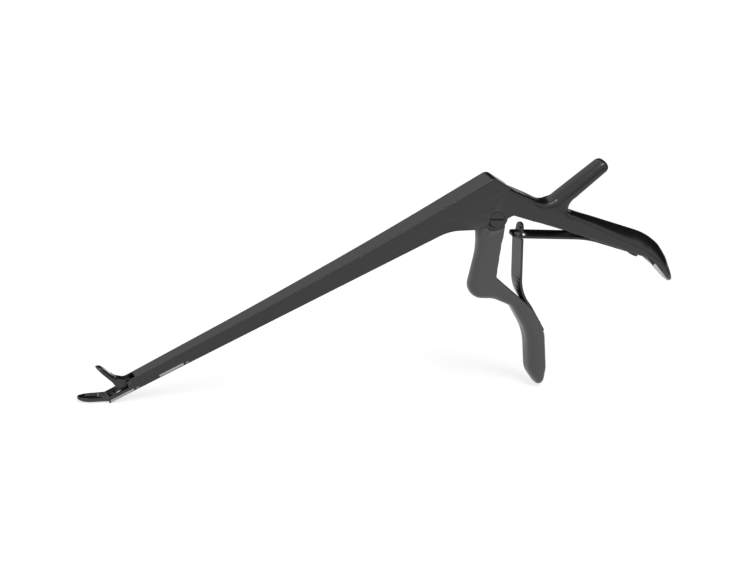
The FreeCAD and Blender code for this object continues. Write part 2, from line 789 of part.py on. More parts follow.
def make_sliding_shaft():
    body = new_body("sliding_shaft")
    side = new_sketch(body, "XZ_Plane")
    outline(side, [
        (s.slider_front_x, slider_under),
        (s.slider_tail_x, slider_under),
        (s.slider_rear_x + 2, s.slider_rear_top, s.slider_rear_round),
        (s.slider_hip_x, s.slider_hip_top, s.slider_top_round),
        (s.slider_knee_x, s.slider_knee_top, s.slider_top_round),
        (s.slider_front_x, s.slider_front_top),
    ])
    feature(body, "Pad", side, 3 * s.bar_rear_half_width)
    taper_width(body, [(s.slider_tail_x + 5, s.bar_rear_half_width)])

    def upper(edge):
        box = edge.BoundBox
        return box.YLength < 1.5 and box.XLength > 0.5 and box.ZMin > slider_under.value + 0.5
    round_edges(body, s.slider_side_round, upper)
    for key_x in (s.front_key_x, s.rear_key_x):
        key = new_sketch(body, "YZ_Plane", 0, key_x)
        key_profile(key, 0, slider_under + 0.5, 0)
        feature(body, "Pad", key, s.key_length)
    fork = new_sketch(body, "XZ_Plane")
    rectangle(fork, s.slider_front_x - 1, fork_rear_x, slider_under - 1, s.slider_knee_top + 2)
    feature(body, "Pocket", fork, root_slot_width)
    half = s.tongue_radius + s.side_gap
    pocket = new_sketch(body, "XZ_Plane")
    rectangle(pocket, tongue_x - half, tongue_x + half, slider_under - 1, s.tongue_reach + s.tongue_radius + 0.3)
    feature(body, "Pocket", pocket, lever_slot_width)
    bore(body, s.link_pin_x, s.link_pin_z, s.link_pin_radius, -5, 5)
    return body


# The upper jaw

def cam_point(fraction):
    """Where the link pin stands in the resting jaw's own frame after a fraction of the stroke."""
    turn = s.jaw_swing * fraction
    slide = s.tongue_reach * (sine(lean) - sine(lean - s.lever_swing * fraction))
    dx = s.link_pin_x - slide - s.jaw_pivot_x
    dz = s.link_pin_z - s.jaw_pivot_z
    return (s.jaw_pivot_x + cosine(turn) * dx + sine(turn) * dz,
            s.jaw_pivot_z - sine(turn) * dx + cosine(turn) * dz)


def add_root(body):
    """The jaw's root: a plate with the pivot's eye low in front and the link pin's lug high behind."""
    sketch = new_sketch(body, "XZ_Plane")
    px, pz, qx, qz = s.jaw_pivot_x, s.jaw_pivot_z, s.link_pin_x, s.link_pin_z
    eye, lug = s.jaw_eye_radius, s.link_eye_radius
    outline(sketch, [
        (s.blade_root_x + s.root_top_x / 4, s.blade_root_z + s.root_top_z),
        (s.blade_root_x, s.blade_root_z - s.root_heel_drop, eye / 2),
        (px - eye, pz + eye, eye / 2),
        (px - eye, pz - eye, 0.94 * eye),
        (px + eye, pz - eye, 0.94 * eye),
        (qx + lug, qz - lug, lug),
        (qx + lug, s.slider_front_top, lug / 2),
        (qx - lug, s.slider_front_top + s.root_crown, lug / 2),
        (s.root_neck_x, s.root_neck_z, lug),
        (s.blade_root_x + s.root_top_x, s.blade_root_z + s.root_top_z),
    ])
    feature(body, "Pad", sketch, s.root_width)


def blade_section(body, distance, half_width, depth):
    x = s.blade_root_x - distance * sine(s.blade_lean)
    z = s.blade_root_z + distance * cosine(s.blade_lean)
    sketch = new_sketch(body, "YZ_Plane", z, x, 90 - s.blade_lean)
    outline(sketch, [(half_width, 0), (half_width, depth, 0.7 * depth), (-half_width, depth, 0.7 * depth),
                     (-half_width, 0)])
    return sketch


def cut_cam_slot(body):
    """The curved slot that the link pin runs in, as short round-ended passes, one after the other."""
    radius = s.link_pin_radius + s.side_gap
    passes = 4
    points = [cam_point(as_size(step / passes)) for step in range(passes + 1)]
    for start, end in zip(points, points[1:]):
        slope = slope_of(start[0], start[1], end[0], end[1])
        sketch = new_sketch(body, "XZ_Plane")
        sides = []
        for point, sign in ((start, 1), (end, 1), (end, -1), (start, -1)):
            sides.append((point[0] + sine(slope) * radius * sign, point[1] + cosine(slope) * radius * sign))
        outline(sketch, sides)
        feature(body, "Pocket", sketch, 2 * s.root_width)
    for point in points:
        bore(body, point[0], point[1], radius, -s.root_width, s.root_width)


def make_upper_jaw():
    body = new_body("upper_jaw")
    sections = [(0, s.blade_half_width, s.blade_root_height)]
    sections += tip_sections(s.blade_length, s.blade_tip_length, s.blade_half_width, s.blade_front_height)
    loft(body, [blade_section(body, *section) for section in sections])
    sketch = new_sketch(body, "YZ_Plane", s.blade_root_z, s.blade_root_x, -s.blade_lean)
    half = s.blade_half_width - s.blade_wall
    stadium(sketch, s.blade_heel + half, s.blade_length - s.blade_front_wall - half, half)
    feature(body, "Pocket", sketch, 2 * s.blade_hollow_depth)
    add_root(body)
    bore(body, s.jaw_pivot_x, s.jaw_pivot_z, s.jaw_pin_radius + s.side_gap, -s.root_width, s.root_width)
    cut_cam_slot(body)
    return body


# The lever

def make_front_lever():
    body = new_body("front_lever")
    side = new_sketch(body, "XZ_Plane")
    grip_low = along_grip(s.grip_rear_length)
    outline(side, [
        (s.arm_front_top_x, s.arm_front_top_z),
        (s.arm_front_x, s.arm_front_z, s.arm_round),
        (s.knee_front_x, s.knee_front_z, s.knee_round),
        (s.knee_under_x, s.knee_under_z, s.grip_round),
        (s.grip_front_top_x, s.grip_front_top_z, s.grip_throat_round),
        (s.grip_front_mid_x, s.grip_front_mid_z, s.arm_round),
        (s.grip_front_low_x, s.grip_front_low_z, s.grip_round),
        (s.grip_tip_x, s.grip_tip_z),
        (s.grip_tip_x + s.grip_tip_thickness, s.grip_tip_z),
        (s.grip_rear_low_x, s.grip_rear_low_z, s.grip_round),
        grip_low + (s.grip_round,),
        (s.grip_rear_top_x, s.grip_rear_top_z, s.grip_round),
        (s.knee_rear_x, s.knee_rear_z, s.knee_rear_round),
        (s.arm_rear_top_x, s.arm_rear_top_z),
    ])
    feature(body, "Pad", side, 2 * s.grip_half_width)
    widen_grip(body)
    round_edges(body, s.grip_crown_round, lever_crown_edge)
    round_end(body, s.grip_half_width, s.grip_tip_z, s.grip_end_round)
    round_corner(body, s.grip_tip_x, s.grip_tip_z, s.grip_tip_round, -1)
    round_corner(body, s.grip_tip_x + s.grip_tip_thickness, s.grip_tip_z, s.grip_tip_round, 1)
    top = new_sketch(body, "XZ_Plane")
    circle(top, 0, 0, s.boss_radius + s.swing_gap)
    feature(body, "Pocket", top)
    add_lever_head(body)
    cut_spring_seat(body)
    return body


def lever_back(z):
    """Where the lever's back lies at a height."""
    places = [(s.arm_rear_top_x, s.arm_rear_top_z), (s.knee_rear_x, s.knee_rear_z),
              (s.grip_rear_top_x, s.grip_rear_top_z), (s.grip_rear_low_x, s.grip_rear_low_z)]
    for (x0, z0), (x1, z1) in zip(places, places[1:]):
        if z1.value <= z <= z0.value:
            return x0.value + (x1.value - x0.value) * (z - z0.value) / (z1.value - z0.value)
    return places[-1][0].value if z < 0 else places[0][0].value


def lever_crown_edge(edge):
    """True for the edges of the side of the lever that faces the jaws."""
    ahead = all(point.x < lever_back(point.z) - s.grip_tip_thickness.value for point in ends_of(edge))
    return ahead and not runs_across(edge) and edge.BoundBox.ZMax < s.arm_rear_top_z.value


def widen_grip(body):
    """Gives the lever its front view: a narrow arm that widens into the grip."""
    arm, grip, foot = s.arm_half_width, s.grip_half_width, s.grip_tip_z - 5
    right = [(arm, 5), (arm, s.arm_widen_z, 15), (grip, s.grip_widen_z, 15), (grip, foot)]
    for sign in (-1, 1):
        sketch = new_sketch(body, "YZ_Plane")
        side = [(corner[0] * sign, corner[1]) + corner[2:] for corner in right]
        outline(sketch, [(2 * grip * sign, 5)] + side + [(2 * grip * sign, foot)])
        feature(body, "Pocket", sketch)


def add_lever_head(body):
    reach = s.head_radius
    web = new_sketch(body, "XZ_Plane")
    outline(web, [(-reach, 0), (reach, 0), (0, -2 * reach), (-2 * reach, -2 * reach)])
    feature(body, "Pad", web, s.head_thickness)
    disc = new_sketch(body, "XZ_Plane")
    circle(disc, 0, 0, reach)
    feature(body, "Pad", disc, s.head_thickness)
    neck = new_sketch(body, "XZ_Plane")
    across_x, across_z = cosine(lean) * s.tongue_half_width, sine(lean) * s.tongue_half_width
    outline(neck, [(-across_x, across_z), (across_x, -across_z),
                   (tongue_x + across_x, tongue_z - across_z), (tongue_x - across_x, tongue_z + across_z)])
    feature(body, "Pad", neck, s.head_thickness)
    knob = new_sketch(body, "XZ_Plane")
    circle(knob, tongue_x, tongue_z, s.tongue_radius)
    feature(body, "Pad", knob, s.head_thickness)
    bore(body, 0, 0, s.screw_shank_radius + s.running_gap, -s.head_thickness, s.head_thickness)


def cut_spring_seat(body):
    """The shallow seat in the back of the grip that holds the spring's foot, and the hole for its screw."""
    start, end, floor = -s.seat_run_out, s.front_spring_end + s.swing_gap, -s.front_spring_recess
    fall = (s.seat_run_out + s.seat_bend) * s.front_spring_waist_set / s.front_spring_waist
    recess = new_sketch(body, "XZ_Plane")
    outline(recess, [along_grip(start, floor - fall), along_grip(s.seat_bend, floor), along_grip(end, floor),
                     along_grip(end, s.seat_run_out), along_grip(start, s.seat_run_out)])
    feature(body, "Pocket", recess, s.front_spring_width + 2 * s.side_gap)
    point = along_grip(s.front_screw_along)
    hole = sketch_under(body, point, s.grip_rear_angle)
    circle(hole, 0, 0, s.spring_screw_shank_radius)
    feature(body, "Pocket", hole, 2 * s.spring_screw_length)


# Pins and screws

def make_pin(label, x, z, radius):
    body = new_body(label)
    sketch = new_sketch(body, "XZ_Plane")
    circle(sketch, x, z, radius)
    feature(body, "Pad", sketch, 2 * s.bar_front_half_width)
    return body


def make_lever_pivot_screw():
    body = new_body("lever_pivot_screw")
    side = s.bar_rear_half_width
    inner = lever_slot_width / 2
    floor = s.screw_recess - side
    bore(body, 0, 0, s.screw_head_radius, floor - s.screw_head_height, floor, "Pad")
    bore(body, 0, 0, s.screw_shank_radius, floor - 0.5, inner, "Pad")
    bore(body, 0, 0, s.screw_thread_radius, inner - 0.5, side, "Pad")
    slot = new_sketch(body, "XZ_Plane", 0, s.screw_head_height - floor)
    reach, half = 1.2 * s.screw_head_radius, s.screw_slot_width / 2
    corners = []
    for run, rise in ((-1, -1), (1, -1), (1, 1), (-1, 1)):
        corners.append((reach * run * cosine(s.screw_slot_angle) + half * rise * sine(s.screw_slot_angle),
                        half * rise * cosine(s.screw_slot_angle) - reach * run * sine(s.screw_slot_angle)))
    outline(slot, corners)
    feature(body, "Pocket", slot, 2 * s.screw_slot_depth)
    return body


def make_spring_screw(label, point, slope, head_height):
    """A small screw: its head stands on the spring, its shank goes into the handle."""
    body = new_body(label)
    shank = sketch_under(body, point, slope)
    circle(shank, 0, 0, s.spring_screw_shank_radius)
    feature(body, "Pad", shank, s.spring_screw_length, both=False)
    head = sketch_under(body, point, slope)
    circle(head, 0, 0, s.spring_screw_head_radius)
    feature(body, "Pad", head, head_height, both=False, reverse=True)
    return body


# The two leaf springs

def leaf(label, path, width):
    """A strip of spring steel along a path that starts at the spring's free tip."""
    body = new_body(label)
    spine = new_sketch(body, "XZ_Plane")
    outline(spine, path, closed=False)
    slope = slope_of(path[0][0], path[0][1], path[1][0], path[1][1])
    across = sketch_across(body, path[0], slope)
    half, thick = width / 2, s.spring_thickness / 2
    rectangle(across, -half, half, -thick, thick)
    pipe = body.newObject("PartDesign::AdditivePipe", "strip")
    pipe.Profile = across
    pipe.Spine = spine
    doc.recompute()
    return body, slope


def round_tip(body, tip, slope, half, radius):
    """Rounds the corners of a leaf at its free tip, as seen square to the leaf."""
    sketch = sketch_under(body, tip, slope)
    outline(sketch, [(-2 * half, -2 * radius), (-half, -2 * radius), (-half, 0, radius), (half, 0, radius),
                     (half, -2 * radius), (2 * half, -2 * radius), (2 * half, half), (-2 * half, half)])
    feature(body, "Pocket", sketch, 4 * s.spring_thickness)


def make_rear_leaf_spring():
    thick = s.spring_thickness / 2
    bend = along_tail(s.rear_spring_lift, -thick)
    half_turn = s.tail_turn / 2
    root = along_tail(s.tail_under_length - thick * sine(half_turn) / cosine(half_turn), -thick)
    end = along(root[0], root[1], tail_end_angle, s.rear_spring_end)
    path = [(s.rear_spring_tip_x, s.rear_spring_tip_z), bend + (s.rear_spring_round,),
            root + (s.tail_under_round - thick,), end]
    body, slope = leaf("rear_leaf_spring", path, s.rear_spring_width)
    round_tip(body, path[0], slope, s.rear_spring_width / 2, s.eye_end_round)
    eye = sketch_under(body, path[0], slope)
    half = s.eye_width / 2
    rectangle(eye, -half, half, -s.eye_start - s.eye_length, -s.eye_start)
    feature(body, "Pocket", eye, 4 * s.spring_thickness)
    hole = sketch_under(body, along_tail(s.rear_screw_along), s.tail_angle)
    circle(hole, 0, 0, s.spring_screw_shank_radius)
    feature(body, "Pocket", hole, 4 * s.spring_thickness)
    return body


def make_front_leaf_spring():
    thick = s.spring_thickness / 2 - s.front_spring_recess
    shoulder = (s.front_spring_shoulder_x, s.front_spring_shoulder_z, s.front_spring_shoulder_round)
    waist = along_grip(-s.front_spring_waist, thick - s.front_spring_waist_set)
    path = [(s.front_spring_tip_x, s.front_spring_tip_z), shoulder, waist + (s.front_spring_round,),
            along_grip(0, thick) + (s.front_spring_round,), along_grip(s.front_spring_end, thick)]
    body, slope = leaf("front_leaf_spring", path, s.front_spring_width)
    half, outer = s.tongue_width / 2, s.front_spring_width
    for side in (-1, 1):
        shoulder = sketch_under(body, path[0], slope)
        low, high = (half, outer) if side > 0 else (-outer, -half)
        rectangle(shoulder, low, high, -s.tongue_length, 2)
        feature(body, "Pocket", shoulder, 4 * s.spring_thickness)
    round_tip(body, path[0], slope, half, s.tongue_end_round)
    hole = sketch_under(body, along_grip(s.front_screw_along), s.grip_rear_angle)
    circle(hole, 0, 0, s.spring_screw_shank_radius)
    feature(body, "Pocket", hole, 4 * s.spring_thickness)
    return body


bodies = [
    make_handle_body(),
    make_sliding_shaft(),
    make_upper_jaw(),
    make_front_lever(),
    make_pin("jaw_pivot_pin", s.jaw_pivot_x, s.jaw_pivot_z, s.jaw_pin_radius),
    make_pin("jaw_link_pin", s.link_pin_x, s.link_pin_z, s.link_pin_radius),
    make_lever_pivot_screw(),
    make_rear_leaf_spring(),
    make_front_leaf_spring(),
    make_spring_screw("rear_spring_screw", along_tail(s.rear_screw_along, -s.spring_thickness), s.tail_angle,
                      s.rear_screw_head_height),
    make_spring_screw("front_spring_screw",
                      along_grip(s.front_screw_along, s.spring_thickness - s.front_spring_recess),
                      s.grip_rear_angle + 180, s.front_screw_head_height),
]
doc.recompute()


def check_document():
    for item in doc.Objects:
        if "Invalid" in item.State or "Error" in item.State:
            raise RuntimeError("failed: %s %s %s" % (item.Name, item.Label, item.State))
    for body in bodies:
        if body.Shape.isNull() or not body.Shape.isValid() or len(body.Shape.Solids) != 1:
            raise RuntimeError("bad shape: %s has %d solids" % (body.Label, len(body.Shape.Solids)))


def stand_up():
    """Tilts the instrument onto its jaw and lever, with the middle of its footprint at the origin."""
    tilt = FreeCAD.Rotation(Vector(0, 1, 0), -s.stance_angle.value)
    low = [1e9] * 3
    high = [-1e9] * 3
    for body in bodies:
        for vertex in body.Shape.tessellate(0.05)[0]:
            point = tilt.multVec(vertex)
            for axis in range(3):
                low[axis] = min(low[axis], point[axis])
                high[axis] = max(high[axis], point[axis])
    shift = Vector(-(low[0] + high[0]) / 2, -(low[1] + high[1]) / 2, -low[2])
    place = FreeCAD.Placement(shift, tilt)
    for body in bodies:
        body.Placement = place
    print("box", [round(h - l, 3) for l, h in zip(low, high)])
    for name, x, z in (("lever pivot", 0, 0), ("jaw pivot", s.jaw_pivot_x.value, s.jaw_pivot_z.value),
                       ("link pin", s.link_pin_x.value, s.link_pin_z.value)):
        print(name, place.multVec(Vector(x, 0, z)))
    print("shaft direction", tilt.multVec(Vector(1, 0, 0)))


check_document()
stand_up()
doc.recompute()
check_document()
os.makedirs("parts", exist_ok=True)
for body in bodies:
    body.Shape.exportStep("parts/%s.step" % body.Label)
    print("%-20s %9.2f mm3" % (body.Label, body.Shape.Volume))
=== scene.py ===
# %% [markdown]
# # A bone rongeur, dressed for its portrait
#
# This lesson dresses a measured model of a surgical hand tool. The model comes in as a fixed
# frame: every piece is already at its real size and place, in metres. What is left to do here is
# what the eye reads first: the finish of the steel, the soft forged handles, the bent springs,
# the bright depth marks, the light and the camera.

# %% Load the frame
import json
import math

import bmesh
import bpy
import numpy as np
from mathutils import Matrix, Vector


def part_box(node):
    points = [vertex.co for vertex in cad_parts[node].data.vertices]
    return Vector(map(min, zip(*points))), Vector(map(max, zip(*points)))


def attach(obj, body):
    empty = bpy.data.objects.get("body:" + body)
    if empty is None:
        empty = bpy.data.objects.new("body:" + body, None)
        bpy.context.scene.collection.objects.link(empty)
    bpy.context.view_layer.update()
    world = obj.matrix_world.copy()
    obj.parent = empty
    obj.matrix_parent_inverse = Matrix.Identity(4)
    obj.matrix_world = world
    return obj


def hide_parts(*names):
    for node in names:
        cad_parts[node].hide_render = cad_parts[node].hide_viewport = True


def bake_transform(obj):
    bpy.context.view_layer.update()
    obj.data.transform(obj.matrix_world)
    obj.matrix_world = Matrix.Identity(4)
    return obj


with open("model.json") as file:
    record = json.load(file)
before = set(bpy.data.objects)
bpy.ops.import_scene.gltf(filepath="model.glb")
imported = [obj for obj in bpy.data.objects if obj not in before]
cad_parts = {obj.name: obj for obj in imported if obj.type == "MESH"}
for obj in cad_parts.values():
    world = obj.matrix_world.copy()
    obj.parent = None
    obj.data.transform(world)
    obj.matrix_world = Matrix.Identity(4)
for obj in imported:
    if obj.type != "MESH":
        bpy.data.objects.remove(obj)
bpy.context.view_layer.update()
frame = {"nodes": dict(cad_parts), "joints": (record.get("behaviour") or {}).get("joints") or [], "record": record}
nodes = frame["nodes"]
joints = {joint["name"]: joint for joint in frame["joints"]}

# %% [markdown]
# ## Where the shaft points
#
# The instrument stands tilted on its lower jaw and its lever, so "along the shaft" isn't a plain
# X, Y or Z. The sliding joint's axis says which way the shaft points, and the lever's hinge gives
# a point on it. Everything that sits on the shaft is placed with these two, so it follows the
# model and needs no fitting.

# %% The shaft's own directions
hinge = Vector(joints["lever_squeeze"]["pos_m"])
shaft_back = -Vector(joints["shaft_slide"]["axis"]).normalized()
across = Vector((0, 1, 0))
shaft_up = shaft_back.cross(across).normalized()
stance = math.degrees(math.atan2(shaft_back.z, shaft_back.x))
print("the shaft rises by", round(stance, 2), "degrees towards the handles")


def shaft_direction(along, over, up):
    """A direction given along, across and above the shaft, turned into the frame's own axes."""
    return shaft_back * along + across * over + shaft_up * up


def on_shaft(x_mm, y_mm, z_mm):
    """A point in millimetres along, across and above the shaft, counted from the lever's hinge."""
    return hinge + shaft_direction(x_mm, y_mm, z_mm) / 1000


# %% [markdown]
# ## The camera
#
# A photograph is matched best by matching how it was taken. Two long edges of the shaft and one
# level edge give the direction of the view, and the size of the marks gives the distance. The
# angles are counted from the shaft, so the view stays right if the instrument's stance changes.
# The camera is nearly a metre away with a long lens.

# %% Camera
PHOTO_WIDTH, PHOTO_HEIGHT = 748, 561
FOCAL_PIXELS = 2448
SENSOR_WIDTH = 36
VIEW_AZIMUTH = math.radians(-15.5515)
VIEW_ELEVATION = math.radians(34.5118)
VIEW_ROLL = math.radians(-18.84)
HINGE_PIXEL = (497.4, 219.7)
HINGE_DEPTH = 0.907
HINGE_FACE = -4.0
CLIP_START, CLIP_END = 0.05, 20


def make_camera():
    flat = math.cos(VIEW_ELEVATION)
    back = shaft_direction(math.sin(VIEW_AZIMUTH) * flat, -math.cos(VIEW_AZIMUTH) * flat,
                           math.sin(VIEW_ELEVATION))
    level = shaft_up.cross(back).normalized()
    rise = back.cross(level)
    right = level * math.cos(VIEW_ROLL) + rise * math.sin(VIEW_ROLL)
    up = rise * math.cos(VIEW_ROLL) - level * math.sin(VIEW_ROLL)
    metres_per_pixel = HINGE_DEPTH / FOCAL_PIXELS
    place = on_shaft(0, HINGE_FACE, 0) + back * HINGE_DEPTH
    place -= right * (HINGE_PIXEL[0] - PHOTO_WIDTH / 2) * metres_per_pixel
    place -= up * (PHOTO_HEIGHT / 2 - HINGE_PIXEL[1]) * metres_per_pixel
    data = bpy.data.cameras.new("portrait")
    data.sensor_width = SENSOR_WIDTH
    data.lens = FOCAL_PIXELS / PHOTO_WIDTH * SENSOR_WIDTH
    data.clip_start, data.clip_end = CLIP_START, CLIP_END
    camera = bpy.data.objects.new("portrait", data)
    turn = Matrix((right, up, back)).transposed().to_4x4()
    camera.matrix_world = Matrix.Translation(place) @ turn
    bpy.context.scene.collection.objects.link(camera)
    bpy.context.scene.camera = camera
    return camera


camera = make_camera()
print("the camera stands at", tuple(round(v, 3) for v in camera.location), "with a lens of",
      round(camera.data.lens, 1), "mm")

# %% [markdown]
# ## The room
#
# Black satin metal has hardly any colour of its own: what we see is a soft image of the room.
# Lamps alone would leave it black between a few bright spots. So the room is a white tent that is
# open on one side. The camera sees pure white. Reflections see the tent, which is bright overhead
# and in front and dark behind the handles, and that dark side draws the crisp black upper faces.

# %% World
scene = bpy.context.scene
scene.view_settings.view_transform = "Standard"
TENT_OPENING = Vector((0.85, 0.50, 0.10)).normalized()
OPENING_EDGE, OPENING_CORE = 0.45, 0.72
TENT_GLOW, OPENING_GLOW = 1.0, 0.0
ROOM_LIGHT = 0.35


def link(tree, source, target):
    tree.links.new(source, target)


def math_node(tree, operation, first, second):
    """A Math node on two sockets or numbers, and its result."""
    node = tree.nodes.new("ShaderNodeMath")
    node.operation = operation
    for socket, value in zip(node.inputs, (first, second)):
        if isinstance(value, (int, float)):
            socket.default_value = value
        else:
            link(tree, value, socket)
    return node.outputs[0]


def ranged(tree, value, low, high, at_low, at_high, kind="LINEAR"):
    """A Map Range node: value from low to high becomes at_low to at_high."""
    node = tree.nodes.new("ShaderNodeMapRange")
    node.interpolation_type = kind
    limits = {"From Min": low, "From Max": high, "To Min": at_low, "To Max": at_high}
    for name, number in limits.items():
        node.inputs[name].default_value = number
    link(tree, value, node.inputs["Value"])
    return node.outputs["Result"]


def make_world():
    world = bpy.data.worlds.new("white_tent")
    world.use_nodes = True
    scene.world = world
    tree = world.node_tree
    background = tree.nodes["Background"]
    toward = tree.nodes.new("ShaderNodeVectorMath")
    toward.operation = "DOT_PRODUCT"
    toward.inputs[1].default_value = TENT_OPENING
    link(tree, tree.nodes.new("ShaderNodeTexCoord").outputs["Generated"], toward.inputs[0])
    tent = ranged(tree, toward.outputs["Value"], OPENING_EDGE, OPENING_CORE, TENT_GLOW,
                  OPENING_GLOW, "SMOOTHERSTEP")
    path = tree.nodes.new("ShaderNodeLightPath").outputs
    straight = math_node(tree, "MAXIMUM", path["Is Camera Ray"], path["Is Transmission Ray"])
    mirrored = math_node(tree, "MULTIPLY", path["Is Glossy Ray"], tent)
    scattered = math_node(tree, "MULTIPLY", path["Is Diffuse Ray"], ROOM_LIGHT)
    shown = math_node(tree, "MAXIMUM", straight, mirrored)
    strength = math_node(tree, "MAXIMUM", shown, scattered)
    background.inputs["Color"].default_value = (1, 1, 1, 1)
    link(tree, strength, background.inputs["Strength"])


make_world()
print("the tent is open towards", tuple(round(v, 2) for v in TENT_OPENING))

# %% [markdown]
# ## The floor
#
# The instrument was photographed on white paper that runs out of the picture. A plain white plane
# would turn grey in the light that shows the steel well. So the paper is part grey and part
# glowing: the glow lifts it to white, and the grey part still takes a faint shadow. In
# reflections the glow fades away from the instrument, as if the paper ended there.

# %% Floor
FLOOR_SIZE = 6.0
FLOOR_SHADE, FLOOR_GLOW = 0.42, 0.74
PAPER_RADIUS, PAPER_END = 0.30, 0.62
NEAR_GLOW, FAR_GLOW = 1.0, 0.12


def paper_material():
    material = bpy.data.materials.new("white_floor")
    material.use_nodes = True
    tree = material.node_tree
    tree.nodes.clear()
    paper = tree.nodes.new("ShaderNodeBsdfDiffuse")
    paper.inputs["Color"].default_value = (FLOOR_SHADE, FLOOR_SHADE, FLOOR_SHADE, 1)
    glow = tree.nodes.new("ShaderNodeEmission")
    reach = tree.nodes.new("ShaderNodeVectorMath")
    reach.operation = "LENGTH"
    link(tree, tree.nodes.new("ShaderNodeTexCoord").outputs["Object"], reach.inputs[0])
    near = ranged(tree, reach.outputs["Value"], PAPER_RADIUS, PAPER_END, NEAR_GLOW, FAR_GLOW,
                  "SMOOTHSTEP")
    path = tree.nodes.new("ShaderNodeLightPath").outputs
    seen = math_node(tree, "MULTIPLY", path["Is Glossy Ray"], near)
    seen = math_node(tree, "MAXIMUM", path["Is Camera Ray"], seen)
    seen = math_node(tree, "MAXIMUM", seen, path["Is Transmission Ray"])
    link(tree, math_node(tree, "MULTIPLY", seen, FLOOR_GLOW), glow.inputs["Strength"])
    both = tree.nodes.new("ShaderNodeAddShader")
    link(tree, paper.outputs[0], both.inputs[0])
    link(tree, glow.outputs[0], both.inputs[1])
    output = tree.nodes.new("ShaderNodeOutputMaterial")
    link(tree, both.outputs[0], output.inputs["Surface"])
    return material


def make_floor():
    mesh = bpy.data.meshes.new("floor")
    half = FLOOR_SIZE / 2
    corners = [(-half, -half, 0), (half, -half, 0), (half, half, 0), (-half, half, 0)]
    mesh.from_pydata(corners, [], [(0, 1, 2, 3)])
    floor = bpy.data.objects.new("floor", mesh)
    scene.collection.objects.link(floor)
    mesh.materials.append(paper_material())


make_floor()
print("the floor is", FLOOR_SIZE, "metres wide")

# %% [markdown]
# ## The lamps
#
# The photographer's soft light comes from large white boxes. Area lamps do the same. One hangs
# overhead and lights the paper around the instrument, and a weaker one stands at the left.

# %% Lamps
SOFTBOX_SIZE = 0.9
OVERHEAD_WATTS, LEFT_WATTS = 14, 5


def softbox(name, place, aim, power):
    data = bpy.data.lights.new(name, "AREA")
    data.shape = "RECTANGLE"
    data.size = data.size_y = SOFTBOX_SIZE
    data.energy = power
    lamp = bpy.data.objects.new(name, data)
    lamp.location = place
    lamp.rotation_mode = "QUATERNION"
    lamp.rotation_quaternion = (Vector(aim) - Vector(place)).to_track_quat("-Z", "Y")
    scene.collection.objects.link(lamp)


softbox("overhead_softbox", (-0.05, -0.55, 1.6), (0, 0, 0), OVERHEAD_WATTS)
softbox("left_softbox", (-1.3, -0.9, 0.7), (0, 0, 0.05), LEFT_WATTS)

# %% [markdown]
# ## The black coating
#
# The steel wears a thin hard black coating. It is smooth but not polished: highlights are soft,
# very fine grinding lines run along each piece beneath it, and it has rubbed a little thinner on
# the edges that hands and trays touch. A painted picture of this would blur close up, so it is
# made from nodes. The base is nearly black and the reflection does the rest. Edges are never truly
# sharp on ground steel, so the shading normal is rounded over up to a quarter of a millimetre, and
# where that rounding is strong the coating is painted a little paler: partly that wear, partly a
# painted highlight along the edge.

# %% Coating of the steel
EDGE_SAMPLES = 6
EDGE_FULL, EDGE_NONE = 0.80, 0.985
# Paler colour for the edges: part wear, part a painted highlight along them.
PALE_EDGE_WEAR_AND_HIGHLIGHT = (0.16, 0.16, 0.165, 1)
COOL_CAST = 1.04
CLOUD_SCALE, CLOUD_DETAIL = 110, 5
SMOOTHER, ROUGHER = 0.04, 0.05
PATCH_SCALE, LINE_SCALE, FINE_DETAIL = 900, 700, 4
LINE_STRETCH = (0.05, 1.0, 1.0)
LINE_STRENGTH = 0.5


